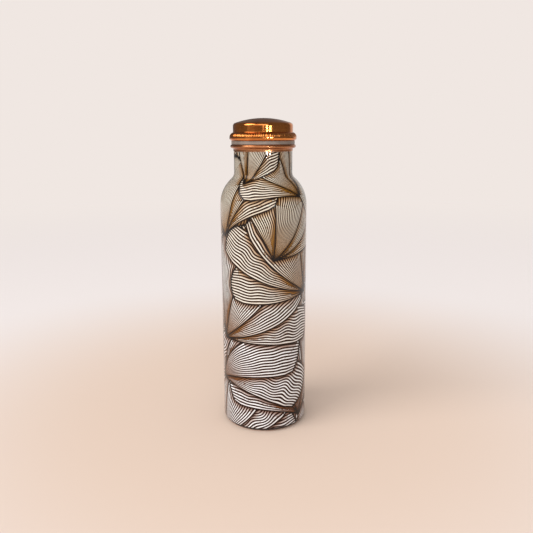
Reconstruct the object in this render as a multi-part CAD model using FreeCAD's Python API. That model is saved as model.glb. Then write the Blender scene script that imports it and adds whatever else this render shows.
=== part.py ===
"""Copper water bottle with a printed coat and a screw cap, built piece by piece.

Frame: millimetres, +Z up, origin on the bottle's axis where its standing ring meets the table.
Every sheet-metal piece is one strip of copper, bent along lines and round bends in the half
plane (radius, height) and then spun about the axis. The neck ring and the cap's liner carry a
rolled round thread: a ridge on one face of the sheet with a matching groove behind it.
"""

import FreeCAD, Part
import math
import os

# ---------------------------------------------------------------- driving dimensions
# Bottle
BODY_R = 36.5            # outside radius over the printed coat
COAT = 0.3               # thickness of the printed coat
WALL = 0.6               # copper sheet of the bottle
KNUCKLE_R = 5.0          # bend from the wall to the base, over the coat
SHOULDER_Z = 192.0       # height where the wall starts to turn into the shoulder
SHOULDER_R = 29.0        # bend radius of the shoulder, over the coat
NECK_R = 24.3            # outside radius of the neck over the coat
NECK_BEND_R = 7.0        # hollow bend between shoulder and neck
COAT_START_DEG = 38.0    # the coat starts this far up the knuckle
COAT_TOP_Z = 236.0       # the coat ends here, against the neck ring
NECK_TOP_Z = 239.6       # the copper neck ends inside the neck ring's hollow bead

# Base plate
STAND_INNER_R = 28.0     # inner edge of the standing ring
PLATE_R = 31.0           # outside radius of the base plate
PLATE_FLAT_R = 27.0      # the plate is flat outside this radius
PLATE_RISE = 5.0         # how far the plate's middle stands above its rim
PLATE_BEND_R = 4.0       # bend between the plate's flat rim and its dome
SOLDER = 0.5             # leg of the base's solder fillet

# Neck ring
RING_BEAD_R = 1.5        # bend radius of the hollow bead
RING_BEAD_Z = 239.8      # height of the bead's middle
RING_FLARE_R = 1.0       # bend from the skirt to the bead
RING_ROOT_R = 0.8        # bend from the bead to the threaded finish
FINISH_R = 22.6          # outside radius of the threaded finish
LIP_R = 0.9              # bend radius of the rolled drinking lip
LIP_Z = 255.7            # top of the lip
LIP_TAIL = 0.5           # straight end of the rolled lip
NECK_SEAM_OUT = 1.5      # how far the neck's solder fillet runs out from the neck
NECK_SEAM_EDGE = 1.4     # height of its outer edge above its foot
NECK_SEAM_TOP = 1.9      # height of its top above its foot

# Round thread, right-handed
PITCH = 4.0
NECK_RIDGE_R = 1.39      # radius of the ridge's round section
NECK_CREST_R = 23.5      # crest of the outside thread
NECK_THREAD_Z = 246.2    # where its helix starts
NECK_TURNS = 1.6
LINER_RIDGE_R = 1.0
LINER_CREST_R = 22.9     # crest of the inside thread
LINER_TURNS = 1.5
LINER_START_DEG = -90
BALL_EASE = 0.004        # the round thread ends stand this much proud, so that they cut cleanly
BURIED = 0.2             # how deep a ridge's root runs into its wall
ZONE_MARGIN = 1.0        # how far the zone kept from a ridge's rod reaches past its crest

# Cap
CAP_SHEET = 0.5
CAP_R = 24.75            # outside radius of the cap's skirt
CAP_TOP_Z = 262.4
CAP_DOME_R = 70.6
CAP_CORNER_R = 2.7       # bend from the dome to the skirt
CAP_BOTTOM_Z = 244.3
CAP_BEAD_MAX_R = 27.7    # outside radius of the grip bead
BEAD_FLARE_R = 0.6       # bend from the skirt to the bead
BEAD_FLARE_DEG = 70.0
BEAD_LOW_R = 2.0         # lower bend of the bead
BEAD_SIDE = 0.8          # straight side between the bead's two bends
CURL_INNER_R = 24.35     # inner edge of the curled hem under the bead
LINER_FLANGE_R = 25.6    # the liner's flange, held in the curled hem
LINER_BEND_R = 0.5       # bend from the flange to the sleeve
LINER_TOP_Z = 257.6

# Silicone seals
SEAL_GAP = 0.05          # working gap on each sealing face
GASKET_OUTER_R = 26.2
GASKET_EDGE = 0.35       # rounding of the gasket's outer edges
SEAL_OUTER_R = 22.0
SEAL_INNER_R = 18.5
SEAL_THICK = 1.3

SAME_POINT = 1e-7        # two ends closer than this are one


# ---------------------------------------------------------------- strips bent in the half plane
def vector(r, z):
    return FreeCAD.Vector(r, 0, z)


def side_of_strip(start, heading, moves, offset):
    """Edges of one face of a strip, offset to the left of its guide line."""
    r, z = start
    angle = math.radians(heading)
    edges = []

    def left(distance):
        return r - math.sin(angle) * distance, z + math.cos(angle) * distance

    for move in moves:
        begin = left(offset)
        if move[0] == "line":
            r += math.cos(angle) * move[1]
            z += math.sin(angle) * move[1]
            edges.append(Part.LineSegment(vector(*begin), vector(*left(offset))).toShape())
            continue
        radius, turn = move[1], math.radians(move[2])
        way = 1 if turn > 0 else -1
        centre = left(way * radius)
        reach = radius - way * offset

        def on_arc(share):
            a = angle + turn * share
            return centre[0] + way * math.sin(a) * reach, centre[1] - way * math.cos(a) * reach

        middle, end = on_arc(0.5), on_arc(1.0)
        edges.append(Part.Arc(vector(*begin), vector(*middle), vector(*end)).toShape())
        r = centre[0] + way * math.sin(angle + turn) * radius
        z = centre[1] - way * math.cos(angle + turn) * radius
        angle += turn
    return edges


def end_point(edges, last):
    return edges[-1].Vertexes[-1].Point if last else edges[0].Vertexes[0].Point


def spin(face):
    return face.revolve(FreeCAD.Vector(0, 0, 0), FreeCAD.Vector(0, 0, 1), 360)


def bent_sheet(start, heading, moves, near, far):
    """A strip between two offsets of its guide line, spun about the axis."""
    one = side_of_strip(start, heading, moves, near)
    other = side_of_strip(start, heading, moves, far)
    caps = []
    for last in (False, True):
        a, b = end_point(one, last), end_point(other, last)
        if a.distanceToPoint(b) > SAME_POINT:
            caps.append(Part.LineSegment(a, b).toShape())
    wire = Part.Wire(Part.__sortEdges__(one + other + caps))
    return as_solid(spin(Part.Face(wire)))


def lathe(*points):
    """A solid of revolution with straight sides, from (radius, height) corners."""
    corners = [vector(*p) for p in points]
    return as_solid(spin(Part.Face(Part.makePolygon(corners + corners[:1]))))


def as_solid(shape):
    """The one solid in a shape, with its normals pointing out."""
    solids = shape.Solids
    if len(solids) != 1:
        raise ValueError("expected one solid and found %d" % len(solids))
    solid = solids[0]
    if solid.Volume < 0:
        solid.reverse()
    return solid


def tube(outer, inner, low, high):
    return lathe((inner, low), (outer, low), (outer, high), (inner, high))


# ---------------------------------------------------------------- rolled thread
def helical_rod(centre_r, rod_r, low, turns, start_deg):
    """A round rod along a right-handed helix, with ball ends."""
    helix = Part.makeHelix(PITCH, PITCH * turns, centre_r)
    section = Part.Wire(
        Part.makeCircle(rod_r, FreeCAD.Vector(centre_r, 0, 0), FreeCAD.Vector(0, 1, 0))
    )
    rod = Part.Wire(helix).makePipeShell([section], True, True)
    rod = as_solid(Part.Solid(rod) if rod.ShapeType == "Shell" else rod)
    for turn in (0.0, turns):
        angle = 2 * math.pi * turn
        ball = Part.makeSphere(
            rod_r + BALL_EASE,
            FreeCAD.Vector(centre_r * math.cos(angle), centre_r * math.sin(angle), PITCH * turn),
        )
        rod = rod.fuse(ball)
    rod.rotate(FreeCAD.Vector(0, 0, 0), FreeCAD.Vector(0, 0, 1), start_deg)
    rod.translate(FreeCAD.Vector(0, 0, low))
    return rod


def roll_thread(sheet, keep, centre_r, rod_r, thickness, low, turns, start_deg):
    """Raises a round ridge on a sheet and presses the matching groove into its back."""
    ridge = helical_rod(centre_r, rod_r, low, turns, start_deg).common(keep)
    groove = helical_rod(centre_r, rod_r - thickness, low, turns, start_deg)
    return as_solid(sheet.fuse(ridge).cut(groove))


# ---------------------------------------------------------------- bottle
def bottle_moves(knuckle_deg, foot, top):
    """The bottle's outline over the copper, from the standing ring up to a height."""
    shoulder, hollow = SHOULDER_R - COAT, NECK_BEND_R + COAT
    turn = math.acos(1 - (BODY_R - NECK_R) / (shoulder + hollow))
    neck_start = SHOULDER_Z + (shoulder + hollow) * math.sin(turn)
    return ([("line", foot)] if foot else []) + [
        ("bend", KNUCKLE_R - COAT, knuckle_deg),
        ("line", SHOULDER_Z - KNUCKLE_R + COAT),
        ("bend", shoulder, math.degrees(turn)),
        ("bend", hollow, -math.degrees(turn)),
        ("line", top - neck_start),
    ]


def make_body_shell():
    foot = BODY_R - KNUCKLE_R - STAND_INNER_R
    moves = bottle_moves(90, foot, NECK_TOP_Z)
    return bent_sheet((STAND_INNER_R, 0), 0, moves, 0, WALL)


def make_printed_coat():
    bend = KNUCKLE_R - COAT
    start = math.radians(COAT_START_DEG)
    corner = (
        BODY_R - KNUCKLE_R + bend * math.sin(start),
        bend - bend * math.cos(start),
    )
    moves = bottle_moves(90 - COAT_START_DEG, 0, COAT_TOP_Z)
    return bent_sheet(corner, COAT_START_DEG, moves, -COAT, 0)


def make_base_plate():
    turn = 2 * math.atan(PLATE_RISE / PLATE_FLAT_R)
    dome = PLATE_FLAT_R / math.sin(turn) - PLATE_BEND_R
    moves = [
        ("bend", dome, -math.degrees(turn)),
        ("bend", PLATE_BEND_R, math.degrees(turn)),
        ("line", PLATE_R - PLATE_FLAT_R),
    ]
    return bent_sheet((0, WALL + PLATE_RISE), 0, moves, 0, WALL)


def make_base_solder_seam():
    edge = STAND_INNER_R
    return lathe((edge, WALL), (edge - SOLDER, WALL), (edge, WALL - SOLDER))


def neck_ring_sheet():
    skirt_r = NECK_R - COAT + WALL
    bead_low = RING_BEAD_Z - RING_BEAD_R
    finish_start = RING_BEAD_Z + RING_BEAD_R + RING_ROOT_R
    moves = [
        ("line", bead_low - RING_FLARE_R - COAT_TOP_Z),
        ("bend", RING_FLARE_R, -90),
        ("bend", RING_BEAD_R, 180),
        ("line", skirt_r + RING_FLARE_R - FINISH_R - RING_ROOT_R),
        ("bend", RING_ROOT_R, -90),
        ("line", LIP_Z - LIP_R - finish_start),
        ("bend", LIP_R, 180),
        ("line", LIP_TAIL),
    ]
    return bent_sheet((skirt_r, COAT_TOP_Z), 90, moves, 0, WALL)


def make_neck_ring():
    ridge_zone = tube(NECK_CREST_R + ZONE_MARGIN, FINISH_R - BURIED, NECK_TOP_Z, LIP_Z)
    centre = NECK_CREST_R - NECK_RIDGE_R
    return roll_thread(
        neck_ring_sheet(), ridge_zone, centre, NECK_RIDGE_R, WALL, NECK_THREAD_Z, NECK_TURNS, 0
    )


def make_neck_solder_seam():
    """Solder in the hollow of the bead, between the neck and the neck ring's flare."""
    inner = NECK_R - COAT
    low = RING_BEAD_Z - RING_BEAD_R - RING_FLARE_R
    outer_edge = (inner + NECK_SEAM_OUT, low + NECK_SEAM_EDGE)
    block = lathe((inner, low), outer_edge, (inner, low + NECK_SEAM_TOP))
    return as_solid(block.cut(neck_ring_sheet()))


def make_neck_gasket():
    low, high = RING_BEAD_Z + RING_BEAD_R, CAP_BOTTOM_Z - SEAL_GAP
    inner, outer = FINISH_R + SEAL_GAP, GASKET_OUTER_R
    edge, ease = GASKET_EDGE, RING_ROOT_R
    return lathe(
        (inner + ease, low),
        (outer - edge, low),
        (outer, low + edge),
        (outer, high - edge),
        (outer - edge, high),
        (inner, high),
        (inner, low + ease),
    )


# ---------------------------------------------------------------- cap
def make_cap_shell():
    slope = math.asin((CAP_R - CAP_CORNER_R) / (CAP_DOME_R - CAP_CORNER_R))
    flare = math.radians(BEAD_FLARE_DEG)
    lean = math.pi / 2 - flare
    flared_r = CAP_R + BEAD_FLARE_R * (1 - math.cos(flare))
    bead_high_r = (CAP_BEAD_MAX_R - flared_r) / (1 - math.sin(lean))
    skirt_top = CAP_TOP_Z - CAP_DOME_R * (1 - math.cos(slope)) - CAP_CORNER_R * math.cos(slope)
    skirt_low = (
        CAP_BOTTOM_Z + BEAD_LOW_R + BEAD_SIDE
        + bead_high_r * math.cos(lean) + BEAD_FLARE_R * math.sin(flare)
    )
    moves = [
        ("bend", CAP_DOME_R, -math.degrees(slope)),
        ("bend", CAP_CORNER_R, math.degrees(slope) - 90),
        ("line", skirt_top - skirt_low),
        ("bend", BEAD_FLARE_R, BEAD_FLARE_DEG),
        ("bend", bead_high_r, -BEAD_FLARE_DEG),
        ("line", BEAD_SIDE),
        ("bend", BEAD_LOW_R, -90),
        ("line", CAP_BEAD_MAX_R - BEAD_LOW_R - CURL_INNER_R),
    ]
    return bent_sheet((0, CAP_TOP_Z), 0, moves, 0, -CAP_SHEET)


def make_cap_thread_liner():
    sleeve_r = CAP_R - CAP_SHEET
    flange_z = CAP_BOTTOM_Z + 2 * CAP_SHEET
    corner = CAP_CORNER_R - CAP_SHEET
    moves = [
        ("line", LINER_FLANGE_R - sleeve_r - LINER_BEND_R),
        ("bend", LINER_BEND_R, -90),
        ("line", LINER_TOP_Z - corner - flange_z - LINER_BEND_R),
        ("bend", corner, 90),
        ("line", sleeve_r - corner),
    ]
    sheet = bent_sheet((LINER_FLANGE_R, flange_z), 180, moves, 0, CAP_SHEET)
    wall_in = sleeve_r - CAP_SHEET
    ridge_zone = tube(wall_in + BURIED, LINER_CREST_R - ZONE_MARGIN, flange_z, LINER_TOP_Z)
    centre = LINER_CREST_R + LINER_RIDGE_R
    # Half a pitch above the neck's helix at every angle: midway between two of its turns.
    low = NECK_THREAD_Z + PITCH * (0.5 + LINER_START_DEG / 360)
    return roll_thread(
        sheet, ridge_zone, centre, LINER_RIDGE_R, CAP_SHEET, low, LINER_TURNS, LINER_START_DEG
    )


def make_cap_seal():
    low = LIP_Z + SEAL_GAP
    return tube(SEAL_OUTER_R, SEAL_INNER_R, low, low + SEAL_THICK)


PIECES = {
    "body_shell": make_body_shell,
    "printed_coat": make_printed_coat,
    "base_plate": make_base_plate,
    "base_solder_seam": make_base_solder_seam,
    "neck_ring": make_neck_ring,
    "neck_solder_seam": make_neck_solder_seam,
    "neck_gasket": make_neck_gasket,
    "cap_shell": make_cap_shell,
    "cap_thread_liner": make_cap_thread_liner,
    "cap_seal": make_cap_seal,
}


def main():
    os.makedirs("parts", exist_ok=True)
    for name, make in PIECES.items():
        solid = make()
        box = solid.BoundBox
        print(
            "%-17s valid %s  %8.3f cm3  r %.2f  z %.2f to %.2f"
            % (name, solid.isValid(), solid.Volume / 1000, box.XMax, box.ZMin, box.ZMax)
        )
        solid.exportStep("parts/%s.step" % name)


main()
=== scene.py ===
import math

import bpy
import numpy as np
from mathutils import Matrix, Vector, geometry, kdtree


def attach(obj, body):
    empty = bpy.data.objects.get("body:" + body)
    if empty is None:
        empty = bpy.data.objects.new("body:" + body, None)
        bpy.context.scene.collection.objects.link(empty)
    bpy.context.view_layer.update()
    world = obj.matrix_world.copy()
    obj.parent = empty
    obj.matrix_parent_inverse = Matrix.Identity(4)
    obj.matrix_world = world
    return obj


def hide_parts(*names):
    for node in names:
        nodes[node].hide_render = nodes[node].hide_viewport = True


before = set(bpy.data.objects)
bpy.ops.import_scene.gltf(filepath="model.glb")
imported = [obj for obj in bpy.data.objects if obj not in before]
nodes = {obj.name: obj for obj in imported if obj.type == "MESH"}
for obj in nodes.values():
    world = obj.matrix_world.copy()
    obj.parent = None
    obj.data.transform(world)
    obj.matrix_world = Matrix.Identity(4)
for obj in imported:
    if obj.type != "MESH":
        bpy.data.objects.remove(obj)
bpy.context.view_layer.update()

# The looks of a copper water bottle: its drawn coat and knurled cap are modelled here, and every
# other piece is the frame's own, with a material. Lengths are millimetres unless said otherwise.

# ------------------------------------------------------------------ sizes
BODY_R = 36.5            # outside radius over the coat
KNUCKLE_R = 5.0          # bend from the wall to the base, over the coat
COAT_START_DEG = 38.0    # the coat starts this far up the knuckle
SHOULDER_Z = 192.0       # where the wall starts to turn into the shoulder
SHOULDER_R = 29.0        # bend of the shoulder, over the coat
NECK_R = 24.3            # outside radius of the neck over the coat
NECK_BEND_R = 7.0        # hollow bend between shoulder and neck
COAT = 0.3               # thickness of the coat
COAT_TOP_Z = 236.0       # the coat ends here, against the neck ring
TURN = 2 * math.pi * BODY_R    # the unrolled coat's width
COAT_STEP = 0.25         # between two points of the coat's profile
SAME_POINT = 1e-6        # two profile points this near each other are one

CAP_SHEET = 0.5
CAP_R = 24.75            # outside radius of the skirt
CAP_TOP_Z = 262.4
CAP_DOME_R = 70.6
CAP_CORNER_R = 2.7       # bend from the dome to the skirt
CAP_BOTTOM_Z = 244.3
CAP_BEAD_MAX_R = 27.7    # outside radius of the grip bead
BEAD_FLARE_R = 0.6       # bend from the skirt to the bead
BEAD_FLARE_DEG = 70.0
BEAD_LOW_R = 2.0         # lower bend of the bead
BEAD_SIDE = 0.8          # straight side between the bead's two bends
CURL_INNER_R = 24.35     # inner edge of the curled hem under the bead
CAP_STEP_OUT = 0.22      # between two points of the cap's outside profile
CAP_STEP_IN = 0.5        # and of its inside profile

KNURLS = 120
KNURL_DEPTH = 0.28
KNURL_SPAN = 0.9         # the knurls reach this share of the bead's upper bend down
KNURL_TOP_GAP = 0.12     # and start this far below the bend's top
KNURL_SKIRT_GAP = 0.05   # and this far out from the skirt
KNURL_FADE_LOW = 0.45    # they grow from nothing over this height at their lower end
KNURL_FADE_HIGH = 0.3    # and over this height at their upper end
KNURL_POINTS = 5         # points round the cap for each knurl


# ------------------------------------------------------------------ bent profiles
def bent_profile(start, heading, moves, offset, step):
    """One face of a bent strip, as rows of radius, height, normal to the left and run along it.

    The strip starts at start towards heading. offset moves the face to the left of the strip's
    line, and step is the distance between two points.
    """
    r, z = start
    angle = math.radians(heading)
    out = []
    for move in moves:
        if move[0] == "line":
            n = max(1, round(move[1] / step))
            for i in range(n + 1):
                d = move[1] * i / n
                out.append((r + math.cos(angle) * d, z + math.sin(angle) * d, angle))
            r, z = out[-1][:2]
            continue
        radius, turn = move[1], math.radians(move[2])
        way = 1 if turn > 0 else -1
        cr, cz = r - way * math.sin(angle) * radius, z + way * math.cos(angle) * radius
        n = max(3, round(abs(turn) * radius / step))
        for i in range(n + 1):
            a = angle + turn * i / n
            out.append((cr + way * math.sin(a) * radius, cz - way * math.cos(a) * radius, a))
        r, z = out[-1][:2]
        angle += turn
    p = np.array(out)
    nr, nz = -np.sin(p[:, 2]), np.cos(p[:, 2])
    p = np.stack([p[:, 0] + nr * offset, p[:, 1] + nz * offset, nr, nz], 1)
    gap = np.hypot(*(p[1:, :2] - p[:-1, :2]).T)
    keep = np.append(True, gap > SAME_POINT)
    p = p[keep]
    run = np.append(0, np.cumsum(np.hypot(*(p[1:, :2] - p[:-1, :2]).T)))
    return np.column_stack([p, run])


def mesh_object(name, points_mm, faces, body):
    """A mesh piece that rides on one body of the frame."""
    me = bpy.data.meshes.new(name)
    me.from_pydata((np.asarray(points_mm) / 1000).tolist(), [], faces)
    me.update()
    ob = bpy.data.objects.new(name, me)
    bpy.context.scene.collection.objects.link(ob)
    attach(ob, body)
    return ob


def set_normals(ob, normals):
    """Gives every vertex its normal of the true round shape."""
    me = ob.data
    me.shade_smooth()
    me.normals_split_custom_set_from_vertices(normals.tolist())


# ------------------------------------------------------------------ node helpers
def new_material(name):
    """A material with a Principled shader on its output."""
    mat = bpy.data.materials.new(name)
    mat.use_nodes = True
    nt = mat.node_tree
    nt.nodes.clear()
    out = nt.nodes.new("ShaderNodeOutputMaterial")
    bsdf = nt.nodes.new("ShaderNodeBsdfPrincipled")
    nt.links.new(bsdf.outputs[0], out.inputs[0])
    return mat, nt, bsdf


def node(nt, kind, _set=(), **inputs):
    """A new node. _set holds its settings; i0, i1 and so on, or names, give its inputs."""
    n = nt.nodes.new(kind)
    for key, value in dict(_set).items():
        setattr(n, key, value)
    for key, value in inputs.items():
        pin = n.inputs[int(key[1:])] if key[0] == "i" and key[1:].isdigit() else n.inputs[key]
        plug(nt, value, pin)
    return n


def plug(nt, value, pin):
    """Puts a node's first output, a socket or a plain value on an input."""
    if hasattr(value, "outputs"):
        value = value.outputs[0]
    if isinstance(value, bpy.types.NodeSocket):
        nt.links.new(value, pin)
    else:
        pin.default_value = value


def math_node(nt, op, a, b=0.0, c=0.0, clamp=False):
    return node(nt, "ShaderNodeMath", {"operation": op, "use_clamp": clamp}, i0=a, i1=b, i2=c)


def step_node(nt, value, low, high, to_low=0.0, to_high=1.0):
    """A smooth step from to_low at low to to_high at high."""
    n = node(nt, "ShaderNodeMapRange", {"interpolation_type": "SMOOTHSTEP", "clamp": True}, i0=value)
    for i, v in enumerate((low, high, to_low, to_high)):
        n.inputs[i + 1].default_value = v
    return n


def mix_colour(nt, factor, a, b):
    n = nt.nodes.new("ShaderNodeMix")
    n.data_type = "RGBA"
    plug(nt, factor, n.inputs[0])
    plug(nt, a, n.inputs[6])
    plug(nt, b, n.inputs[7])
    return n.outputs[2]


def srgb(r, g, b):
    """A linear colour from screen values of 0 to 255."""
    def lin(v):
        v /= 255
        return v / 12.92 if v <= 0.04045 else ((v + 0.055) / 1.055) ** 2.4
    return (lin(r), lin(g), lin(b), 1.0)


def noise(nt, vector, scale, detail=3.0, rough=0.5):
    return node(
        nt, "ShaderNodeTexNoise", (), Vector=vector, Scale=scale, Detail=detail, Roughness=rough
    )


# ------------------------------------------------------------------ copper, silicone and solder
TURNING_DRIFT = 0.0006   # metres of drift across the turning marks for each radian round


def ring_coordinates(nt):
    """Object coordinates, and height, radius and a little of the angle: what a turning tool marks."""
    co = nt.nodes.new("ShaderNodeTexCoord")
    sep = node(nt, "ShaderNodeSeparateXYZ", (), Vector=co.outputs["Object"])
    xx = math_node(nt, "MULTIPLY", sep.outputs[0], sep.outputs[0])
    yy = math_node(nt, "MULTIPLY_ADD", sep.outputs[1], sep.outputs[1], xx)
    radius = math_node(nt, "SQRT", yy)
    turn = math_node(nt, "ARCTAN2", sep.outputs[1], sep.outputs[0])
    turn = math_node(nt, "MULTIPLY", turn, TURNING_DRIFT)
    return co, node(nt, "ShaderNodeCombineXYZ", (), X=sep.outputs[2], Y=radius, Z=turn)


def copper(name, bright, dull, roughness, marks, tarnish, aniso):
    """Copper sheet with turning marks round the axis, clouds of tarnish and small dull spots."""
    mat, nt, bsdf = new_material(name)
    co, rings = ring_coordinates(nt)
    fine = noise(nt, rings, 5200.0, 2.0, 0.6)
    broad = noise(nt, rings, 700.0, 2.0, 0.5)
    cloud = noise(nt, co.outputs["Object"], 70.0, 4.0, 0.6)
    spots = noise(nt, co.outputs["Object"], 420.0, 3.0, 0.6)
    tone = math_node(nt, "MULTIPLY_ADD", broad, 0.35, step_node(nt, cloud, 0.38, 0.72, 0.0, tarnish))
    tone = math_node(nt, "MULTIPLY_ADD", step_node(nt, spots, 0.6, 0.72), 0.12, tone, clamp=True)
    plug(nt, mix_colour(nt, tone, bright, dull), bsdf.inputs["Base Color"])
    rough = math_node(nt, "MULTIPLY_ADD", cloud, 0.16, roughness - 0.08)
    rough = math_node(nt, "MULTIPLY_ADD", fine, 0.08, rough, clamp=True)
    plug(nt, rough, bsdf.inputs["Roughness"])
    bsdf.inputs["Metallic"].default_value = 1.0
    bsdf.inputs["Anisotropic"].default_value = aniso
    bsdf.inputs["Anisotropic Rotation"].default_value = 0.25
    tangent = nt.nodes.new("ShaderNodeTangent")
    tangent.direction_type = "RADIAL"
    tangent.axis = "Z"
    nt.links.new(tangent.outputs[0], bsdf.inputs["Tangent"])
    height = math_node(nt, "MULTIPLY_ADD", fine, 0.5, broad)
    bump = node(nt, "ShaderNodeBump", (), Strength=marks, Distance=0.00006, Height=height)
    nt.links.new(bump.outputs[0], bsdf.inputs["Normal"])
    return mat


def silicone(name, colour, shade):
    """Satin silicone with a fine grain and faint clouds."""
    mat, nt, bsdf = new_material(name)
    co = nt.nodes.new("ShaderNodeTexCoord").outputs["Object"]
    grain = noise(nt, co, 2600.0, 3.0, 0.6)
    cloud = noise(nt, co, 130.0, 3.0, 0.5)
    plug(nt, mix_colour(nt, step_node(nt, cloud, 0.35, 0.75), colour, shade), bsdf.inputs["Base Color"])
    plug(nt, math_node(nt, "MULTIPLY_ADD", grain, 0.2, 0.38), bsdf.inputs["Roughness"])
    bsdf.inputs["Subsurface Weight"].default_value = 0.15
    bsdf.inputs["Subsurface Radius"].default_value = (0.002, 0.0018, 0.0015)
    bump = node(nt, "ShaderNodeBump", (), Strength=0.25, Distance=0.00005, Height=grain)
    nt.links.new(bump.outputs[0], bsdf.inputs["Normal"])
    return mat


def solder(name):
    """Dull, lumpy tin solder."""
    mat, nt, bsdf = new_material(name)
    co = nt.nodes.new("ShaderNodeTexCoord").outputs["Object"]
    lumps = noise(nt, co, 600.0, 4.0, 0.6)
    plug(nt, mix_colour(nt, lumps, srgb(196, 194, 188), srgb(120, 116, 108)), bsdf.inputs["Base Color"])
    plug(nt, math_node(nt, "MULTIPLY_ADD", lumps, 0.3, 0.25), bsdf.inputs["Roughness"])
    bsdf.inputs["Metallic"].default_value = 1.0
    bump = node(nt, "ShaderNodeBump", (), Strength=0.6, Distance=0.0003, Height=lumps)
    nt.links.new(bump.outputs[0], bsdf.inputs["Normal"])
    return mat


# ------------------------------------------------------------------ the printed coat's drawing
# Leaves spring in fans from a few points. A row is one point: where it is round the bottle and
# up it, in mm, the way its fan points and the angle from leaf to leaf, in degrees, then a leaf's
# length and width in mm and its curl in degrees, how warm it is tinted from 0 to 1, and how many
# leaves there are. The first twelve fans fill the ground and the others lie on top of them.
FANS = [
    (-50, 216, 92, 50, 50, 44, 20, 1.0, 4),
    (6, 212, 88, 50, 50, 44, -20, 1.0, 4),
    (-30, 190, 100, 48, 60, 44, 30, 1.0, 4),
    (30, 184, 75, 52, 62, 44, -30, 1.0, 4),
    (-52, 138, 90, 50, 66, 46, 30, 1.0, 4),
    (4, 122, 92, 50, 66, 46, -30, 0.9, 4),
    (58, 84, 90, 50, 66, 46, -30, 0.7, 4),
    (10, 66, 100, 50, 66, 46, -30, 0.4, 4),
    (-56, 20, 95, 52, 66, 46, 30, 0.1, 4),
    (2, 12, 90, 52, 66, 46, 30, 0.1, 4),
    (54, -30, 95, 50, 66, 46, 30, 0.0, 4),
    (4, -30, 90, 52, 66, 46, -30, 0.0, 4),
    (12, -36, 84, 26, 70, 32, 20, 0.0, 5),
    (-50, -12, 62, 26, 86, 34, 30, 0.0, 5),
    (34, 10, 104, 25, 92, 34, 34, 0.0, 5),
    (-46, 42, 20, 26, 88, 36, -50, 0.1, 3),
    (-40, 80, 58, 25, 94, 35, 14, 0.4, 5),
    (42, 120, 122, 25, 86, 34, -24, 0.8, 5),
    (8, 150, 66, 26, 78, 30, 24, 1.0, 4),
    (-38, 168, 80, 26, 74, 34, -30, 1.0, 4),
    (36, 200, 128, 27, 66, 28, 30, 1.0, 4),
    (-20, 212, 64, 28, 52, 26, -20, 1.0, 3),
]
# The order in which a fan's leaves are laid, outer ones first, for each number of leaves.
PAINT_ORDER = {3: (0, 2, 1), 4: (0, 3, 1, 2), 5: (0, 4, 1, 3, 2)}
CURL_SWING = 14          # degrees by which a leaf's curl swings from leaf to leaf
CURL_FAN = 16            # degrees of curl gained from leaf to leaf across a fan
LINE_GAP = 2.75          # distance between two lines where a leaf is widest, at the foot
LINE_GAP_RISE = -0.0026  # and its change for each millimetre up
WAVE_LENGTH = 19         # of the lines' shared waver
LOBE = 1.8               # depth of the small lobes along a head
BULGE = 5.0              # how far a head's middle stands out beyond its corners
HEAD_START = 0.86        # a leaf stops growing wider here
TAIL_WIDTH = 0.015       # share of its width that a leaf has at its tail
GROW_POWER = 0.95        # how its width grows from tail to head
HEAD_TAPER = 0.9         # and how it narrows past HEAD_START
FEWEST_LINES = 4
SIZE_SWING = 0.1         # share by which a leaf's length swings from leaf to leaf
SIDE_LOSS = 0.1          # share of length lost for each leaf away from a fan's middle
WIDTH_SWING = 0.12       # share by which its width swings
GRID = 1.1               # spacing of the points between outlines
OUTLINE_STEP = 0.7       # spacing of points along a leaf's sides
SOLVE_ROUNDS = 7         # steps towards a point's place on a leaf
SOLVE_REACH = 0.3        # the longest such step
ON_LEAF = 0.05           # a point this near its solved place is on the leaf
LEAF_BOX_PAD = 1.0
CUT_TOLERANCE = 1e-4
WELD_PER_MM = 2000       # points that round to the same place at this fineness are one
NO_LEAF = 0.25           # line, run and distance where no leaf lies


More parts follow.
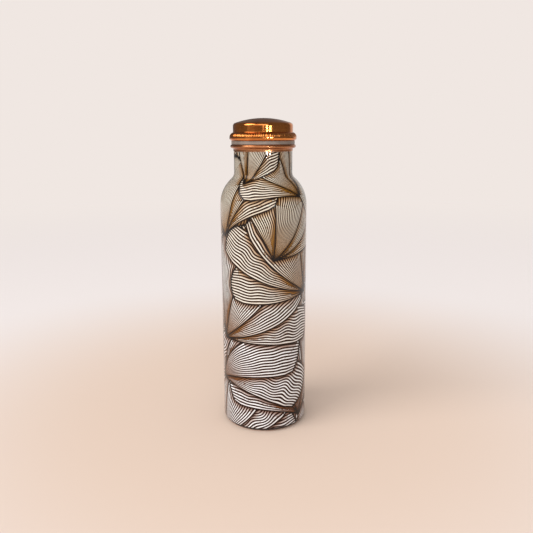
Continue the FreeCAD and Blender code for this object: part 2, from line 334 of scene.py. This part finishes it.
class Leaf:
    """A leaf of near-parallel lines on the unrolled coat. u runs across it, v from tail to head."""

    def __init__(self, tail, angle, length, width, curl, tint, rank):
        def heading(a, size):
            return size * np.array([math.cos(a), math.sin(a)])

        tail = np.array(tail, float)
        head = tail + heading(angle, length)
        reach = length / 3 / math.cos(curl / 3)
        leave = tail + heading(angle - curl, reach)
        arrive = head - heading(angle + curl, reach)
        self.spine = (tail, leave, arrive, head)
        self.length, self.width, self.tint, self.rank = length, width, tint, rank
        self.lines = max(FEWEST_LINES, round(width / (LINE_GAP + LINE_GAP_RISE * tail[1])))
        self.wave = 0.2 + 0.75 * (rank * 0.618 % 1) ** 2
        self.phase = 6.28 * (rank * 0.381 % 1)

    def at(self, u, v):
        """Across the spine by its growing width, and out along it where the head bulges."""
        a, b, c, d = self.spine
        k, w = (1 - v)[:, None], v[:, None]
        spine = a * k ** 3 + 3 * b * k * k * w + 3 * c * k * w * w + d * w ** 3
        along = (b - a) * k * k + 2 * (c - b) * k * w + (d - c) * w * w
        along = along / np.hypot(*along.T)[:, None]
        grow = np.sin(np.clip(v / HEAD_START, 0, 1) * math.pi / 2) ** GROW_POWER
        grow = grow - HEAD_TAPER * np.clip(v - HEAD_START, 0, 1)
        across = (0.5 - u) * self.width * (TAIL_WIDTH + (1 - TAIL_WIDTH) * grow)
        bulge = BULGE * 4 * u * (1 - u) * np.clip(v, 0, 2) ** 3
        left = np.stack([-along[:, 1], along[:, 0]], 1)
        return spine + across[:, None] * left + bulge[:, None] * along

    def head(self, u):
        """Where the head ends: a small lobe between every two lines."""
        lobes = np.sqrt(np.abs(np.sin(math.pi * u * self.lines)) + 1e-9)
        return 1 + LOBE / self.length * (lobes - 1)

    def outline(self):
        """The leaf's edge, from its tail up the left side, round the lobes and down the right."""
        v = np.linspace(0, 1, int(self.length / OUTLINE_STEP))
        left, right = (self.at(v * 0 + u, v * self.head(v * 0 + u)) for u in (0.0, 1.0))
        u = np.linspace(0, 1, self.lines * 6 + 1)
        return np.vstack([left[:-1], self.at(u, self.head(u)), right[::-1][1:-1]])

    def solve(self, p):
        """u and v at points of the unrolled coat, and whether each is on the leaf."""
        grid = np.meshgrid(np.linspace(0, 1, 9), np.linspace(0.02, 1.05, 16))
        gu, gv = (g.ravel() for g in grid)
        guess = self.at(gu, gv)
        best = ((p[:, None, :] - guess[None]) ** 2).sum(2).argmin(1)
        u, v, h = gu[best].copy(), gv[best].copy(), 1e-4
        for _ in range(SOLVE_ROUNDS):
            f = self.at(u, v) - p
            du = (self.at(u + h, v) - self.at(u - h, v)) / (2 * h)
            dv = (self.at(u, v + h) - self.at(u, v - h)) / (2 * h)
            det = du[:, 0] * dv[:, 1] - du[:, 1] * dv[:, 0]
            det = np.where(np.abs(det) < 1e-3, np.where(det < 0, -1e-3, 1e-3), det)
            move_u = (f[:, 0] * dv[:, 1] - f[:, 1] * dv[:, 0]) / det
            move_v = (du[:, 0] * f[:, 1] - du[:, 1] * f[:, 0]) / det
            u = np.clip(u - np.clip(move_u, -SOLVE_REACH, SOLVE_REACH), -0.6, 1.6)
            v = np.clip(v - np.clip(move_v, -SOLVE_REACH, SOLVE_REACH), -0.05, 1.3)
        miss = np.hypot(*(self.at(u, v) - p).T)
        return u, v, (miss < ON_LEAF) & (u >= 0) & (u <= 1) & (v >= 0) & (v <= self.head(u))

    def line(self, u, v):
        """Which of its lines passes here: a whole number on a line, with a shared waver."""
        window = np.sin(math.pi * np.clip(u, 0, 1)) * np.clip(v * 1.5 - 0.1, 0, 1)
        window = window * np.clip((1 - v) * 4, 0, 1)
        waver = np.sin(2 * math.pi * v * self.length / WAVE_LENGTH + self.phase)
        return u * self.lines + self.wave * waver * window


def all_leaves():
    """Every leaf, lowest in the pile first. Each is there twice round the bottle, half a turn
    apart, and again past the ends of the unrolled coat."""
    leaves = []
    rank = 0
    for x, y, lean, spread, length, width, curl, tint, count in FANS:
        for j in PAINT_ORDER[count]:
            t = j - (count - 1) / 2
            size = length * (1 - SIDE_LOSS * abs(t) + SIZE_SWING * math.sin(rank * 2.4))
            wide = width * (1 + WIDTH_SWING * math.sin(rank * 3.1 + 1))
            bend = curl + CURL_SWING * math.sin(rank * 1.7) + CURL_FAN * t
            angle = math.radians(lean + spread * t)
            for half in (-2, -1, 0, 1, 2):
                tail = (x + half * TURN / 2, y)
                leaf = Leaf(tail, angle, size, wide, math.radians(bend) / 2, tint, rank)
                leaf.same = rank * 2 + half % 2
                leaves.append(leaf)
            rank += 1
    return leaves


def box_of(points, pad):
    """The corners of the points' box, grown by pad."""
    return points.min(0) - pad, points.max(0) + pad


def inside(points, lo, hi):
    return ((points >= lo) & (points <= hi)).all(1)


def coat_mesh(high):
    """The unrolled coat, cut along every leaf's outline: points, triangles, each one's leaf, leaves."""
    half = TURN / 2
    cols, rows = round(TURN / GRID), round(high / GRID)
    xs = np.linspace(-half, half, cols + 1)
    ys = np.linspace(0, high, rows + 1)
    grid = []
    for j, y in enumerate(ys):
        shift = (half / cols) if j % 2 and 0 < j < rows else 0.0
        row = xs if not shift else np.append(np.append(-half, xs[:-1] + shift), half)
        grid += [(x, y) for x in row]
    points = [Vector(p) for p in grid]
    corner = len(points)
    points += [Vector(p) for p in ((-half, 0), (half, 0), (half, high), (-half, high))]
    edges = [(corner + i, corner + (i + 1) % 4) for i in range(4)]
    leaves = []
    for leaf in all_leaves():
        line = leaf.outline()
        lo, hi = box_of(line, 0)
        if hi[0] < -half or lo[0] > half or hi[1] < 0 or lo[1] > high:
            continue
        leaf.lo, leaf.hi = box_of(line, LEAF_BOX_PAD)
        leaves.append(leaf)
        first = len(points)
        points += [Vector(p) for p in line]
        edges += [(first + i, first + (i + 1) % len(line)) for i in range(len(line))]
    made = geometry.delaunay_2d_cdt(points, edges, [], 0, CUT_TOLERANCE)
    pts = np.array([tuple(v) for v in made[0]])
    tris = np.array([f for f in made[2] if len(f) == 3])
    mid = pts[tris].mean(1)
    keep = inside(mid, np.array([-half, 0]), np.array([half, high]))
    tris, mid = tris[keep], mid[keep]
    owner = np.full(len(tris), -1)
    for i, leaf in enumerate(leaves):
        near = np.flatnonzero(inside(mid, leaf.lo, leaf.hi))
        if len(near):
            owner[near[leaf.solve(mid[near])[2]]] = i
    return pts, tris, owner, leaves


def make_coat():
    """The coat's skin, with the drawing's data at each corner of each triangle."""
    bend = KNUCKLE_R - COAT
    start = math.radians(COAT_START_DEG)
    corner = (BODY_R - KNUCKLE_R + bend * math.sin(start), bend - bend * math.cos(start))
    shoulder, hollow = SHOULDER_R - COAT, NECK_BEND_R + COAT
    turn = math.acos(1 - (BODY_R - NECK_R) / (shoulder + hollow))
    moves = [
        ("bend", bend, 90 - COAT_START_DEG),
        ("line", SHOULDER_Z - KNUCKLE_R),
        ("bend", shoulder, math.degrees(turn)),
        ("bend", hollow, -math.degrees(turn)),
        ("line", COAT_TOP_Z - SHOULDER_Z - (shoulder + hollow) * math.sin(turn)),
    ]
    outer = bent_profile(corner, COAT_START_DEG, moves, -COAT, COAT_STEP)
    high = outer[-1, 4]
    pts, tris, owner, leaves = coat_mesh(high)
    used, tris = np.unique(tris, return_inverse=True)
    tris = tris.reshape(-1, 3)
    pts = pts[used]

    def on_coat(run, column):
        return np.interp(run, outer[:, 4], outer[:, column])

    angle = pts[:, 0] / BODY_R - math.pi / 2
    r, z = on_coat(pts[:, 1], 0), on_coat(pts[:, 1], 1)
    nr, nz = -on_coat(pts[:, 1], 2), -on_coat(pts[:, 1], 3)
    xyz = np.stack([r * np.cos(angle), r * np.sin(angle), z], 1)
    normals = np.stack([nr * np.cos(angle), nr * np.sin(angle), nz], 1)
    place = np.round(xyz * WELD_PER_MM).astype(np.int64)
    first, weld = np.unique(place, axis=0, return_index=True, return_inverse=True)[1:]
    faces = weld.ravel()[tris]
    a, b, c = faces.T
    solid = (a != b) & (b != c) & (a != c)
    faces, tris, owner = faces[solid], tris[solid], owner[solid]
    xyz, normals = xyz[first], normals[first]

    # which leaf, which line of it and how far along it, at each corner of each triangle
    leaf_data = np.full((len(tris), 3, 3), NO_LEAF)
    tone = np.zeros((len(tris), 3))
    rank = np.array([leaf.rank for leaf in leaves] + [-1])[owner]
    same = np.array([leaf.same for leaf in leaves] + [-1])[owner]
    for i, leaf in enumerate(leaves):
        mine = np.flatnonzero(owner == i)
        if not len(mine):
            continue
        corners, back = np.unique(tris[mine], return_inverse=True)
        u, v = leaf.solve(pts[corners])[:2]
        leaf_data[mine, :, 0] = leaf.line(u, v)[back].reshape(-1, 3)
        leaf_data[mine, :, 1] = v[back].reshape(-1, 3)
        tone[mine] = leaf.tint
    # signed distance to the nearest visible outline: positive on the leaf that lies on top
    e = np.concatenate([faces[:, [0, 1]], faces[:, [1, 2]], faces[:, [2, 0]]])
    e.sort(axis=1)
    tri_of = np.tile(np.arange(len(faces)), 3)
    order = np.lexsort((e[:, 1], e[:, 0]))
    e, tri_of = e[order], tri_of[order]
    pair = np.flatnonzero((e[1:] == e[:-1]).all(1))
    a, b = tri_of[pair], tri_of[pair + 1]
    cut = same[a] != same[b]
    ends = e[pair[cut]]
    top = np.maximum(rank[a[cut]], rank[b[cut]])
    tree = kdtree.KDTree(len(ends) * 3)
    for i, (p, q) in enumerate(zip(xyz[ends[:, 0]], xyz[ends[:, 1]])):
        for j, s in enumerate((0.0, 0.5, 1.0)):
            tree.insert(p + (q - p) * s, i)
    tree.balance()
    found = [tree.find(p) for p in xyz]
    far = np.array([f[2] for f in found])
    seam_top = top[[f[1] for f in found]]
    leaf_data[:, :, 2] = np.where(rank[:, None] >= seam_top[faces], far[faces], -far[faces])

    ob = mesh_object("printed_coat_skin", xyz, faces.tolist(), "bottle")
    set_normals(ob, normals)
    data = ob.data.attributes.new("leaf", "FLOAT_VECTOR", "CORNER")
    data.data.foreach_set("vector", leaf_data.reshape(-1).astype(np.float32))
    data = ob.data.attributes.new("tint", "FLOAT", "CORNER")
    data.data.foreach_set("value", tone.reshape(-1).astype(np.float32))
    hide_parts("printed_coat")
    return ob


# Where a line's ink and its brown fringe set in, from 0 between two lines to 0.5 on a line.
INK_EDGE, FRINGE_EDGE = (0.335, 0.365), (0.19, 0.33)
INK_RAGGED, INK_SWELL = 0.05, 0.10
# Distances from a leaf's visible edge: shade and gloom lie on the leaf that is covered, and the
# rim and the black outline on both sides.
SHADE_REACH, GLOOM_REACH = (0.0, 7.0), (0.3, 2.6)
RIM_REACH, OUTLINE_REACH = (0.0, 2.2), (0.3, 0.62)
SHADE_DEPTH, RIM_DEPTH = 0.85, 0.35
# Shares of a leaf's run, from its tail.
TAIL_SHADE, TAIL_GLOOM, TAIL_BLACK = (0.02, 0.5), (0.02, 0.14), (0.0, 0.07)
TAIL_DEPTH = 0.85
FOOT_BORDER_AND_SHADOW = (0.0028, 0.0038)    # heights, in metres, over which the dark band at the foot ends: the print's dark border with a painted contact shadow
# Each pair is the plain tint and the warm one.
PALE = srgb(245, 250, 252), srgb(228, 224, 208)
DARK = srgb(140, 90, 56), srgb(176, 122, 38)
BROWN = srgb(120, 62, 24), srgb(140, 86, 18)
INK, GLOOM, BLACK = srgb(30, 8, 1), srgb(34, 16, 8), srgb(20, 12, 8)


def print_material():
    """Dark lines with brown fringes on pale bands, shaded at tails and beside covering leaves."""
    mat, nt, bsdf = new_material("printed_lacquer")
    leaf = node(nt, "ShaderNodeAttribute", {"attribute_name": "leaf"})
    tint = node(nt, "ShaderNodeAttribute", {"attribute_name": "tint"}).outputs["Fac"]
    parts = node(nt, "ShaderNodeSeparateXYZ", (), Vector=leaf.outputs["Vector"])
    # the line's number, the run from tail to head, and the signed distance to a visible edge
    line, flow, seam = parts.outputs
    co = nt.nodes.new("ShaderNodeTexCoord").outputs["Object"]
    ragged = noise(nt, co, 900.0, 2.0)
    swell = noise(nt, co, 110.0, 2.0)
    cloud = noise(nt, co, 38.0, 3.0)

    saw = math_node(nt, "ABSOLUTE", math_node(nt, "SUBTRACT", math_node(nt, "FRACT", line), 0.5))
    saw = math_node(nt, "MULTIPLY_ADD", ragged, INK_RAGGED, saw)
    saw = math_node(nt, "MULTIPLY_ADD", swell, INK_SWELL, saw)
    ink = step_node(nt, saw, *INK_EDGE)
    fringe = step_node(nt, saw, *FRINGE_EDGE)

    tail = step_node(nt, flow, *TAIL_SHADE, TAIL_DEPTH, 0.0)
    deep = math_node(nt, "ABSOLUTE", seam)
    below = step_node(nt, seam, -0.02, 0.0, 1.0, 0.0)
    under = math_node(nt, "MULTIPLY", step_node(nt, deep, *SHADE_REACH, 1.0, 0.0), below)
    rim = step_node(nt, deep, *RIM_REACH, RIM_DEPTH, 0.0)
    under = math_node(nt, "MAXIMUM", under, rim)
    shade = math_node(nt, "MULTIPLY_ADD", under, SHADE_DEPTH, tail)
    shade = math_node(nt, "MULTIPLY_ADD", math_node(nt, "SUBTRACT", cloud, 0.5), 0.7, shade, clamp=True)

    pale = mix_colour(nt, tint, *PALE)
    dark = mix_colour(nt, tint, *DARK)
    band = mix_colour(nt, shade, pale, dark)
    brown = mix_colour(nt, tint, *BROWN)
    band = mix_colour(nt, math_node(nt, "MULTIPLY", fringe, 0.9), band, brown)
    colour = mix_colour(nt, ink, band, INK)
    gloom = math_node(nt, "MULTIPLY", step_node(nt, deep, *GLOOM_REACH, 1.0, 0.0), below)
    gloom = math_node(nt, "MAXIMUM", gloom, step_node(nt, flow, *TAIL_GLOOM, 1.0, 0.0))
    colour = mix_colour(nt, math_node(nt, "MULTIPLY", gloom, 0.8), colour, GLOOM)
    black = step_node(nt, deep, *OUTLINE_REACH, 1.0, 0.0)
    black = math_node(nt, "MAXIMUM", black, step_node(nt, flow, *TAIL_BLACK, 1.0, 0.0))
    # the dark band at the foot is the print's border with a painted contact shadow on it
    height = node(nt, "ShaderNodeSeparateXYZ", (), Vector=co).outputs[2]
    black = math_node(nt, "MAXIMUM", black, step_node(nt, height, *FOOT_BORDER_AND_SHADOW, 1.0, 0.0))
    colour = mix_colour(nt, black, colour, BLACK)
    plug(nt, colour, bsdf.inputs["Base Color"])
    plug(nt, math_node(nt, "MULTIPLY_ADD", swell, 0.12, 0.28), bsdf.inputs["Roughness"])
    bsdf.inputs["Specular IOR Level"].default_value = 0.08
    bsdf.inputs["Coat Weight"].default_value = 1.0
    bsdf.inputs["Coat Roughness"].default_value = 0.04
    bsdf.inputs["Coat IOR"].default_value = 1.22
    peel = noise(nt, co, 260.0, 2.0)
    bump = node(nt, "ShaderNodeBump", (), Strength=0.06, Distance=0.0002, Height=peel)
    nt.links.new(bump.outputs[0], bsdf.inputs["Coat Normal"])
    relief = node(nt, "ShaderNodeBump", (), Strength=0.15, Distance=0.00005, Height=ink)
    nt.links.new(relief.outputs[0], bsdf.inputs["Normal"])
    return mat


# ------------------------------------------------------------------ the cap, with its knurled bead
def make_cap():
    """The cap's sheet, with knurls round its bead."""
    slope = math.asin((CAP_R - CAP_CORNER_R) / (CAP_DOME_R - CAP_CORNER_R))
    flare = math.radians(BEAD_FLARE_DEG)
    lean = math.pi / 2 - flare
    flared_r = CAP_R + BEAD_FLARE_R * (1 - math.cos(flare))
    high_r = (CAP_BEAD_MAX_R - flared_r) / (1 - math.sin(lean))
    skirt_top = CAP_TOP_Z - CAP_DOME_R * (1 - math.cos(slope)) - CAP_CORNER_R * math.cos(slope)
    bead_top = CAP_BOTTOM_Z + BEAD_LOW_R + BEAD_SIDE + high_r * math.cos(lean)
    moves = [
        ("bend", CAP_DOME_R, -math.degrees(slope)),
        ("bend", CAP_CORNER_R, math.degrees(slope) - 90),
        ("line", skirt_top - bead_top - BEAD_FLARE_R * math.sin(flare)),
        ("bend", BEAD_FLARE_R, BEAD_FLARE_DEG),
        ("bend", high_r, -BEAD_FLARE_DEG),
        ("line", BEAD_SIDE),
        ("bend", BEAD_LOW_R, -90),
        ("line", CAP_BEAD_MAX_R - BEAD_LOW_R - CURL_INNER_R),
    ]
    outer = bent_profile((0, CAP_TOP_Z), 0, moves, 0, CAP_STEP_OUT)
    inner = bent_profile((0, CAP_TOP_Z), 0, moves, -CAP_SHEET, CAP_STEP_IN)[::-1]
    inner[:, 2:4] *= -1
    profile = np.vstack([outer[:, :4], inner[:, :4]])
    n_out = len(outer)
    seg = KNURLS * KNURL_POINTS
    theta = np.arange(seg) * 2 * math.pi / seg
    low, high = bead_top - high_r * KNURL_SPAN, bead_top - KNURL_TOP_GAP
    zz = profile[:, 1]
    band = np.clip((zz - low) / KNURL_FADE_LOW, 0, 1) * np.clip((high - zz) / KNURL_FADE_HIGH, 0, 1)
    band[n_out:] = 0
    band[profile[:, 0] < CAP_R + KNURL_SKIRT_GAP] = 0
    rib = np.abs(np.sin(theta * KNURLS / 2))
    push = -KNURL_DEPTH * (1 - rib)[None, :] * band[:, None]
    rr = profile[:, 0:1] + profile[:, 2:3] * push
    hh = profile[:, 1:2] + profile[:, 3:4] * push
    xyz = np.stack([rr * np.cos(theta), rr * np.sin(theta), hh + 0 * theta], 2).reshape(-1, 3)
    out, up = profile[:, 2:3], profile[:, 3:4]
    nrm = np.stack([out * np.cos(theta), out * np.sin(theta), up + 0 * theta], 2)
    slant = np.cos(theta * KNURLS / 2) * np.sign(np.sin(theta * KNURLS / 2))
    tilt = KNURL_DEPTH * slant[None, :] * band[:, None]
    side = np.stack([-np.sin(theta), np.cos(theta), 0 * theta], 1)
    nrm = nrm - side[None] * (tilt * KNURLS / 2 / np.maximum(profile[:, 0:1], 1))[..., None]
    nrm = (nrm / np.linalg.norm(nrm, axis=2, keepdims=True)).reshape(-1, 3)
    n = len(profile)
    i, j = np.meshgrid(np.arange(1, n - 2), np.arange(seg), indexing="ij")
    k = (j + 1) % seg
    quads = np.stack([i * seg + j, (i + 1) * seg + j, (i + 1) * seg + k, i * seg + k], 2).reshape(-1, 4)
    top, bottom = len(xyz), len(xyz) + 1
    xyz = np.vstack([xyz, [0, 0, CAP_TOP_Z], [0, 0, CAP_TOP_Z - CAP_SHEET]])
    nrm = np.vstack([nrm, [0, 0, 1], [0, 0, -1]])
    faces = quads.tolist()
    faces += [(top, seg + a, seg + (a + 1) % seg) for a in range(seg)]
    faces += [(bottom, (n - 2) * seg + (a + 1) % seg, (n - 2) * seg + a) for a in range(seg)]
    keep = np.ones(len(xyz), bool)
    keep[:seg] = keep[(n - 1) * seg:n * seg] = False
    where = np.cumsum(keep) - 1
    faces = [[int(where[v]) for v in f] for f in faces]
    ob = mesh_object("cap_shell_knurled", xyz[keep], faces, "cap")
    set_normals(ob, nrm[keep])
    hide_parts("cap_shell")
    return ob


# ------------------------------------------------------------------ pieces and their materials
def give(ob, mat):
    """Makes mat the only material of a piece."""
    if not ob.material_slots:
        ob.data.materials.append(mat)
    for s in ob.material_slots:
        s.material = mat


CAP_COPPER, CAP_TARNISH = (0.86, 0.31, 0.08, 1), (0.42, 0.105, 0.018, 1)
RING_COPPER, RING_TARNISH = (0.52, 0.22, 0.095, 1), (0.28, 0.085, 0.03, 1)
INNER_COPPER, INNER_TARNISH = (0.84, 0.46, 0.30, 1), (0.48, 0.22, 0.13, 1)
cap_copper = copper(
    "spun_cap_copper", CAP_COPPER, CAP_TARNISH, roughness=0.10, marks=0.16, tarnish=0.6, aniso=0.6
)
ring_copper = copper(
    "rolled_ring_copper", RING_COPPER, RING_TARNISH, roughness=0.24, marks=0.3, tarnish=0.6, aniso=0.5
)
inner_copper = copper(
    "drawn_inner_copper", INNER_COPPER, INNER_TARNISH, roughness=0.36, marks=0.6, tarnish=0.7, aniso=0.5
)
ring_silicone = silicone("ring_silicone", srgb(138, 124, 113), srgb(118, 105, 95))

coat = make_coat()
give(coat, print_material())
cap = make_cap()
give(cap, cap_copper)
for name, mat in {
    "body_shell": inner_copper, "base_plate": inner_copper, "neck_ring": ring_copper,
    "cap_thread_liner": ring_copper, "neck_gasket": ring_silicone, "cap_seal": ring_silicone,
    "base_solder_seam": solder("base_solder"), "neck_solder_seam": solder("neck_solder"),
}.items():
    give(nodes[name], mat)


# ------------------------------------------------------------------ stage, light and camera
# Lengths are metres here.
FLOOR_R, FLOOR_SIDES = 3.2, 96
HAZE = srgb(240, 231, 226)
FLOOR_NEAR, FLOOR_FAR = srgb(226, 202, 184), srgb(238, 229, 225)
FLOOR_TINT_REACH = (0.12, 0.5)    # metres from the bottle over which the floor's tint changes
FLOOR_FADE_REACH = (0.5, 1.8)     # and over which it fades into the haze
BRIGHT_WALL_WAY = (0.5, 0.86, 0.1)    # where the room in reflections is brightest
BRIGHT_WALL_EDGE = (0.86, 1.0)        # how near to that way its brightness sets in and is full
ROOM_DIM, ROOM_BRIGHT = 0.15, 0.8
AMBIENT, AMBIENT_STRENGTH = (0.985, 0.985, 1.0, 1), 0.66
SUN_WAY = (0.85, 0.48, -0.72)
SUN_STRENGTH, SUN_SPREAD_DEG = 1.6, 38
CAP_HEIGHT = 0.262       # height of the lights that show in the cap's skirt
SHOULDER_HEIGHT = 0.2107    # height of the small ones that show in the shoulder
WINDOW_FAR = 0.8         # distance from the bottle to the window lights
# Upright bars of the window: azimuth in degrees, width and brightness.
WINDOW_BARS = ((1.5, 0.035, 4.0), (14.2, 0.055, 9.0), (29.2, 0.075, 10.0))
WINDOW_BAR_TALL = 0.06
WINDOW_DOTS = (15, 26)   # azimuths
WINDOW_DOT_WIDE, WINDOW_DOT_TALL, WINDOW_DOT_GLOW = 0.011, 0.009, 2200

CAMERA_LENS = 39.63      # millimetres, on a sensor 36 mm wide
CAMERA_PLACE = (0, -0.4963, 0.2496)
CAMERA_TURN, CAMERA_DOWN, CAMERA_ROLL = -0.27, 12.73, -0.28    # degrees


def make_floor():
    """A plain round floor that fades into the wall's colour, so that no horizon shows."""
    me = bpy.data.meshes.new("floor")
    angles = np.arange(FLOOR_SIDES) * math.pi / (FLOOR_SIDES // 2)
    ring = [(FLOOR_R * math.cos(a), FLOOR_R * math.sin(a), 0) for a in angles]
    me.from_pydata(ring, [], [list(range(FLOOR_SIDES))])
    ob = bpy.data.objects.new("floor", me)
    bpy.context.scene.collection.objects.link(ob)
    mat, nt, bsdf = new_material("pale_floor")
    out = next(n for n in nt.nodes if n.type == "OUTPUT_MATERIAL")
    co = nt.nodes.new("ShaderNodeTexCoord").outputs["Object"]
    far = node(nt, "ShaderNodeVectorMath", {"operation": "LENGTH"}, i0=co).outputs["Value"]
    colour = mix_colour(nt, step_node(nt, far, *FLOOR_TINT_REACH), FLOOR_NEAR, FLOOR_FAR)
    plug(nt, colour, bsdf.inputs["Base Color"])
    bsdf.inputs["Roughness"].default_value = 0.8
    bsdf.inputs["Specular IOR Level"].default_value = 0.1
    haze = node(nt, "ShaderNodeEmission", (), Color=HAZE, Strength=1.0)
    share = step_node(nt, far, *FLOOR_FADE_REACH)
    fade = node(nt, "ShaderNodeMixShader", (), i0=share, i1=bsdf, i2=haze)
    nt.links.new(fade.outputs[0], out.inputs[0])
    give(ob, mat)


def area_light(name, azimuth, height, distance, width, tall, glow, aim=0.14, only_gloss=False):
    """A soft light that looks at the axis at height aim. glow is its radiance.

    Azimuth 0 is the camera's side, positive to the right. A light with only_gloss shows in
    glossy surfaces and doesn't light matt ones.
    """
    data = bpy.data.lights.new(name, "AREA")
    data.shape, data.size, data.size_y = "RECTANGLE", width, tall
    data.energy = glow * math.pi * width * tall
    ob = bpy.data.objects.new(name, data)
    a = math.radians(azimuth)
    ob.location = (distance * math.sin(a), -distance * math.cos(a), height)
    ob.rotation_euler = (Vector((0, 0, aim)) - ob.location).to_track_quat("-Z", "Y").to_euler()
    ob.visible_diffuse = not only_gloss
    bpy.context.scene.collection.objects.link(ob)


def make_world():
    """A plain pale wall to the camera, soft light all round, and a darker room in reflections."""
    world = bpy.data.worlds.new("studio")
    bpy.context.scene.world = world
    world.use_nodes = True
    nt = world.node_tree
    nt.nodes.clear()
    out = nt.nodes.new("ShaderNodeOutputWorld")
    seen = node(nt, "ShaderNodeBackground", (), Color=HAZE, Strength=1.0)
    ambient = node(nt, "ShaderNodeBackground", (), Color=AMBIENT, Strength=AMBIENT_STRENGTH)
    way = nt.nodes.new("ShaderNodeTexCoord").outputs["Generated"]
    side = node(nt, "ShaderNodeVectorMath", {"operation": "DOT_PRODUCT"}, i0=way, i1=BRIGHT_WALL_WAY)
    wall = step_node(nt, side.outputs["Value"], *BRIGHT_WALL_EDGE, ROOM_DIM, ROOM_BRIGHT)
    room = node(nt, "ShaderNodeBackground", (), Color=(1.0, 0.98, 0.96, 1), Strength=wall)
    path = nt.nodes.new("ShaderNodeLightPath")
    first = nt.nodes.new("ShaderNodeMixShader")
    nt.links.new(path.outputs["Is Glossy Ray"], first.inputs[0])
    nt.links.new(ambient.outputs[0], first.inputs[1])
    nt.links.new(room.outputs[0], first.inputs[2])
    mix = nt.nodes.new("ShaderNodeMixShader")
    nt.links.new(path.outputs["Is Camera Ray"], mix.inputs[0])
    nt.links.new(first.outputs[0], mix.inputs[1])
    nt.links.new(seen.outputs[0], mix.inputs[2])
    nt.links.new(mix.outputs[0], out.inputs[0])


def make_camera():
    """The front view, from a little above the bottle's top."""
    data = bpy.data.cameras.new("camera")
    data.sensor_width, data.lens = 36.0, CAMERA_LENS
    data.clip_start, data.clip_end = 0.01, 20.0
    ob = bpy.data.objects.new("camera", data)
    bpy.context.scene.collection.objects.link(ob)
    turn = Matrix.Rotation(math.radians(CAMERA_TURN), 3, "Z")
    tip = Matrix.Rotation(math.radians(90 - CAMERA_DOWN), 3, "X")
    roll = Matrix.Rotation(math.radians(CAMERA_ROLL), 3, "Z")
    ob.matrix_world = (turn @ tip @ roll).to_4x4()
    ob.location = CAMERA_PLACE
    bpy.context.scene.camera = ob


bpy.context.scene.view_settings.view_transform = "Standard"
make_floor()
make_world()
sun = bpy.data.lights.new("soft_sun", "SUN")
sun.energy, sun.angle = SUN_STRENGTH, math.radians(SUN_SPREAD_DEG)
sun_ob = bpy.data.objects.new("soft_sun", sun)
sun_ob.rotation_euler = Vector(SUN_WAY).to_track_quat("-Z", "Y").to_euler()
bpy.context.scene.collection.objects.link(sun_ob)
area_light("front_soft", azimuth=-10, height=1.1, distance=1.5, width=1.6, tall=1.2, glow=1.8)
area_light(
    "bounce_card", azimuth=-46, height=CAP_HEIGHT, distance=WINDOW_FAR, width=0.42, tall=0.06,
    glow=0.4, aim=CAP_HEIGHT, only_gloss=True,
)
for azimuth, width, glow in WINDOW_BARS:
    name = "window_strip_%02d" % azimuth
    area_light(
        name, azimuth, CAP_HEIGHT, WINDOW_FAR, width, WINDOW_BAR_TALL, glow,
        aim=CAP_HEIGHT, only_gloss=True,
    )
for azimuth in WINDOW_DOTS:
    name = "window_dot_%02d" % azimuth
    area_light(
        name, azimuth, SHOULDER_HEIGHT, WINDOW_FAR, WINDOW_DOT_WIDE, WINDOW_DOT_TALL,
        WINDOW_DOT_GLOW, aim=SHOULDER_HEIGHT, only_gloss=True,
    )
make_camera()
